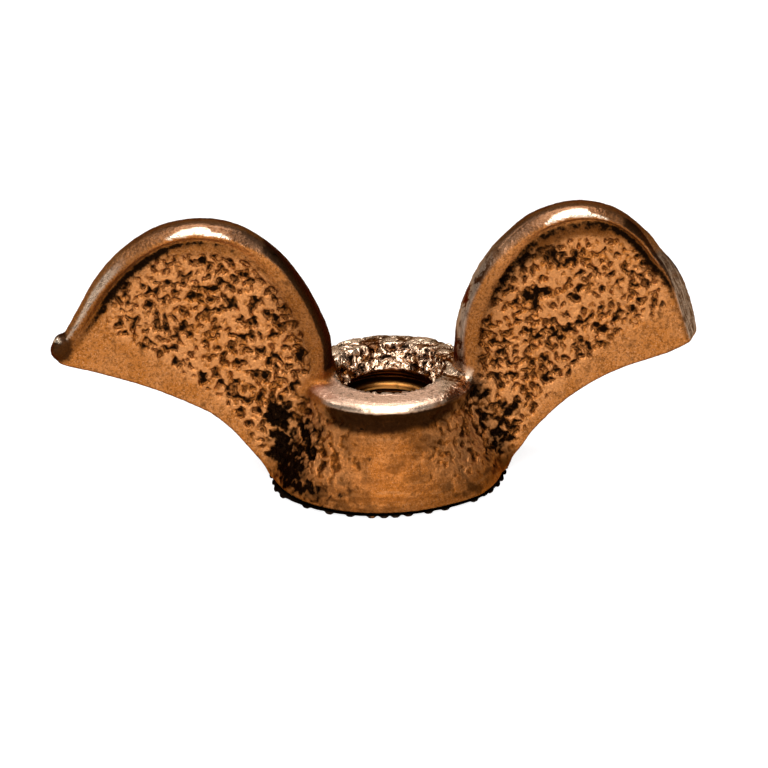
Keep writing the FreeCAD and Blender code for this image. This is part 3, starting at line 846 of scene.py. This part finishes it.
    # painted shade under the lip, broken up by the blotch noise
    painted_lip_shade = m.math("MULTIPLY_ADD", m.math("SUBTRACT", blotch, 0.5), 1.2, m.attr("shade_under_lip"))
    painted_lip_shade = m.math("MULTIPLY", m.ramp(painted_lip_shade, 0.05, 0.65), m.math("MULTIPLY", m.attr("shade_under_lip"), 2.5, clamp=True))
    color = m.mix(m.math("MULTIPLY", painted_lip_shade, 0.94), color, (0.010, 0.003, 0.001))
    # brown painted shade round the upper wall of each pit
    color = m.mix(m.math("MULTIPLY", pit_shade_halo, 0.75), color, brown)
    color = m.mix(m.math("MULTIPLY", stain, 0.55), color, (0.055, 0.017, 0.004))
    color = m.mix(m.math("MULTIPLY", crease, 0.65), color, brown)
    # patina tone and painted shade, mixed in as brown
    color = m.mix(m.math("MULTIPLY", m.attr("patina_and_painted_shade"), 0.55), color, brown)
    # painted shade on the undersides
    color = m.mix(m.math("MULTIPLY", m.attr("underside_shade"), 0.7), color, brown)
    # darker patches; under the right end of the lip they are painted shade
    dark_patches = m.math("MULTIPLY_ADD", m.math("SUBTRACT", blotch, 0.5), 1.5, m.attr("dark_patches"))
    dark_patches = m.math("MULTIPLY_ADD", worm, 0.9, dark_patches)
    color = m.mix(m.math("MULTIPLY", m.ramp(dark_patches, 0.40, 1.05), 0.88), color, (0.030, 0.010, 0.003))
    # near black: patina on the left bead's inner crown, painted dark reflection on the right bead's shoulder
    rim_patina_and_shade = m.math("MULTIPLY_ADD", m.math("SUBTRACT", blotch, 0.5), 1.6, m.attr("rim"))
    color = m.mix(m.math("MULTIPLY", m.ramp(rim_patina_and_shade, 0.25, 0.9), 0.85), color, (0.012, 0.005, 0.002))
    # near black: patina in the corners and the crease, painted shade in the pits
    patina_and_pit_shade = m.mix(m.ramp(fine, 0.5, 0.75), (0.003, 0.0015, 0.0008), (0.020, 0.008, 0.003))
    color = m.mix(m.math("MULTIPLY", dark, 0.98), color, patina_and_pit_shade)

    rough = m.ramp(grain, 0.35, 0.65, 0.52, 0.42)
    rough = m.mixf(m.attr("flank"), rough, 0.54)
    rough = m.mixf(worn, rough, m.mixf(m.attr("lip_wear_and_highlight"), m.ramp(blotch, 0.3, 0.7, 0.27, 0.35), 0.20))
    rough = m.mixf(m.attr("polish_and_painted_highlight"), rough, 0.15)
    rough = m.mixf(m.math("MULTIPLY", topface, 0.7), rough, 0.50)
    rough = m.mixf(mouth, rough, 0.17)
    rough = m.mixf(ground, rough, 0.34)
    rough = m.mixf(bore, rough, m.mixf(m.attr("bore_highlight_band"), 0.30, 0.62))
    rough = m.mixf(dark, rough, 0.55)

    quiet = m.math("SUBTRACT", 1.0, m.math("MULTIPLY", m.math("MAXIMUM", worn, bore), 0.85))
    n1 = m.bump(m.math("MULTIPLY", pit, -1.0), 1.0, 0.00020)
    n2 = m.bump(m.math("MULTIPLY", m.math("ADD", worm, flake), m.math("MULTIPLY", quiet, some)), 0.7, 0.00030, n1)
    soft = m.math("MULTIPLY", quiet, m.math("SUBTRACT", 1.0, m.math("MULTIPLY", m.attr("flank"), 0.6)))
    n3 = m.bump(m.math("MULTIPLY", grain, soft), 0.6, 0.00012, n2)
    n4 = m.bump(m.math("MULTIPLY", brush, ground), 0.8, 0.00006, n3)
    return m.finish(color, rough, 1.0, n4)


def washer_material():
    m = Nodes("blackened_washer")
    at = m.attr("rest", vector=True)
    edge = m.attr("edge")
    grain = m.noise(at, "grain")
    blotch = m.noise(at, "blotch")
    worm = m.noise(at, "worm")
    bare = m.ramp(m.math("ADD", edge, m.math("MULTIPLY", m.math("SUBTRACT", worm, 0.5), 0.9)), 0.62, 0.95)
    black = m.mix(m.ramp(blotch, 0.35, 0.65), (0.004, 0.0025, 0.0015), (0.016, 0.010, 0.006))
    brown = m.mix(m.ramp(grain, 0.3, 0.7), (0.16, 0.055, 0.012), (0.34, 0.14, 0.035))
    color = m.mix(bare, black, brown)
    rough = m.ramp(grain, 0.3, 0.7, 0.40, 0.58)
    normal = m.bump(grain, 0.5, 0.00004)
    return m.finish(color, rough, 1.0, normal)


nut = dress_casting()
nut.data.materials.append(bronze_material())
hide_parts("nut_casting")
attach(nut, "nut")

washer = make_washer()
washer.data.materials.append(washer_material())
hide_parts("serrated_washer")
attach(washer, "washer")


# ------------------------------------------------------------------ stage
def floor():
    me = bpy.data.meshes.new("floor")
    s = 1.5
    z = -0.00003  # just clear of the teeth
    me.from_pydata([(-s, -s, z), (s, -s, z), (s, s, z), (-s, s, z)], [], [(0, 1, 2, 3)])
    ob = bpy.data.objects.new("floor", me)
    bpy.context.scene.collection.objects.link(ob)
    mat = bpy.data.materials.new("white_paper")
    mat.use_nodes = True
    b = mat.node_tree.nodes["Principled BSDF"]
    b.inputs["Base Color"].default_value = (0.32, 0.32, 0.32, 1)
    b.inputs["Roughness"].default_value = 0.9
    b.inputs["Specular IOR Level"].default_value = 0.1
    b.inputs["Emission Color"].default_value = (1, 1, 1, 1)
    b.inputs["Emission Strength"].default_value = 0.86
    # open from underneath, so that the underside can be looked at
    t = mat.node_tree
    side, clear, pick = (t.nodes.new(k) for k in ("ShaderNodeNewGeometry", "ShaderNodeBsdfTransparent", "ShaderNodeMixShader"))
    t.links.new(side.outputs["Backfacing"], pick.inputs[0])
    t.links.new(b.outputs[0], pick.inputs[1])
    t.links.new(clear.outputs[0], pick.inputs[2])
    t.links.new(pick.outputs[0], t.nodes["Material Output"].inputs["Surface"])
    me.materials.append(mat)


def area_light(name, at, towards, size_x, size_y, radiance):
    l = bpy.data.lights.new(name, "AREA")
    l.shape = "RECTANGLE"
    l.size, l.size_y = size_x * MM, size_y * MM
    l.energy = radiance * math.pi * l.size * l.size_y
    ob = bpy.data.objects.new(name, l)
    bpy.context.scene.collection.objects.link(ob)
    a, b = np.array(at, float), np.array(towards, float)
    z = (a - b) / np.linalg.norm(a - b)
    x = np.array([1.0, 0, 0])
    x = x - z * (x @ z)
    x /= np.linalg.norm(x)
    y = np.cross(z, x)
    m = Matrix.Identity(4)
    for i in range(3):
        m[i][0], m[i][1], m[i][2], m[i][3] = x[i], y[i], z[i], a[i] * MM
    ob.matrix_world = m
    return ob


floor()
area_light("overhead", (0, -8, 150), (0, -8, 0), 110, 100, 5.2)
area_light("front_top", (-14, -136, 140), (0, 0, 6), 160, 96, 4.7)
area_light("left_low", (-200, -170, 60), (0, 0, 8), 70, 130, 1.5)
area_light("left_spark", (-130, 22, 122), (-19, 0, 8), 42, 42, 6.0)
back = area_light("back_card", (0, 300, 150), (0, 0, 8), 360, 170, 0.6)
back.visible_camera = False
area_light("front_fill", (0, -300, 60), (0, 0, 6), 260, 150, 0.9)

world = bpy.data.worlds.new("studio")
bpy.context.scene.world = world
world.use_nodes = True
world.node_tree.nodes["Background"].inputs[0].default_value = (1.0, 1.0, 1.0, 1.0)
world.node_tree.nodes["Background"].inputs[1].default_value = 0.22


def camera():
    e, roll, dist, scale = math.radians(25.0), math.radians(2.3), 230.0, 17.0
    fwd = np.array([0.0, math.cos(e), -math.sin(e)])
    right0 = np.array([1.0, 0.0, 0.0])
    up0 = np.cross(right0, fwd)
    right = math.cos(roll) * right0 - math.sin(roll) * up0
    up = math.sin(roll) * right0 + math.cos(roll) * up0
    f = scale * dist
    dx, dy = (392.5 - 384) / f * dist, -(458.0 - 384) / f * dist
    at = np.array([0, 0, 0.16]) - fwd * dist - right * dx - up * dy
    cam = bpy.data.cameras.new("camera")
    cam.sensor_width = 36.0
    cam.lens = f / 768 * 36.0
    cam.clip_start, cam.clip_end = 0.01, 5.0
    ob = bpy.data.objects.new("camera", cam)
    bpy.context.scene.collection.objects.link(ob)
    m = Matrix.Identity(4)
    for i in range(3):
        m[i][0], m[i][1], m[i][2], m[i][3] = right[i], up[i], -fwd[i], at[i] * MM
    ob.matrix_world = m
    bpy.context.scene.camera = ob


camera()
bpy.context.scene.view_settings.view_transform = "Standard"
bpy.context.scene.view_settings.look = "None"
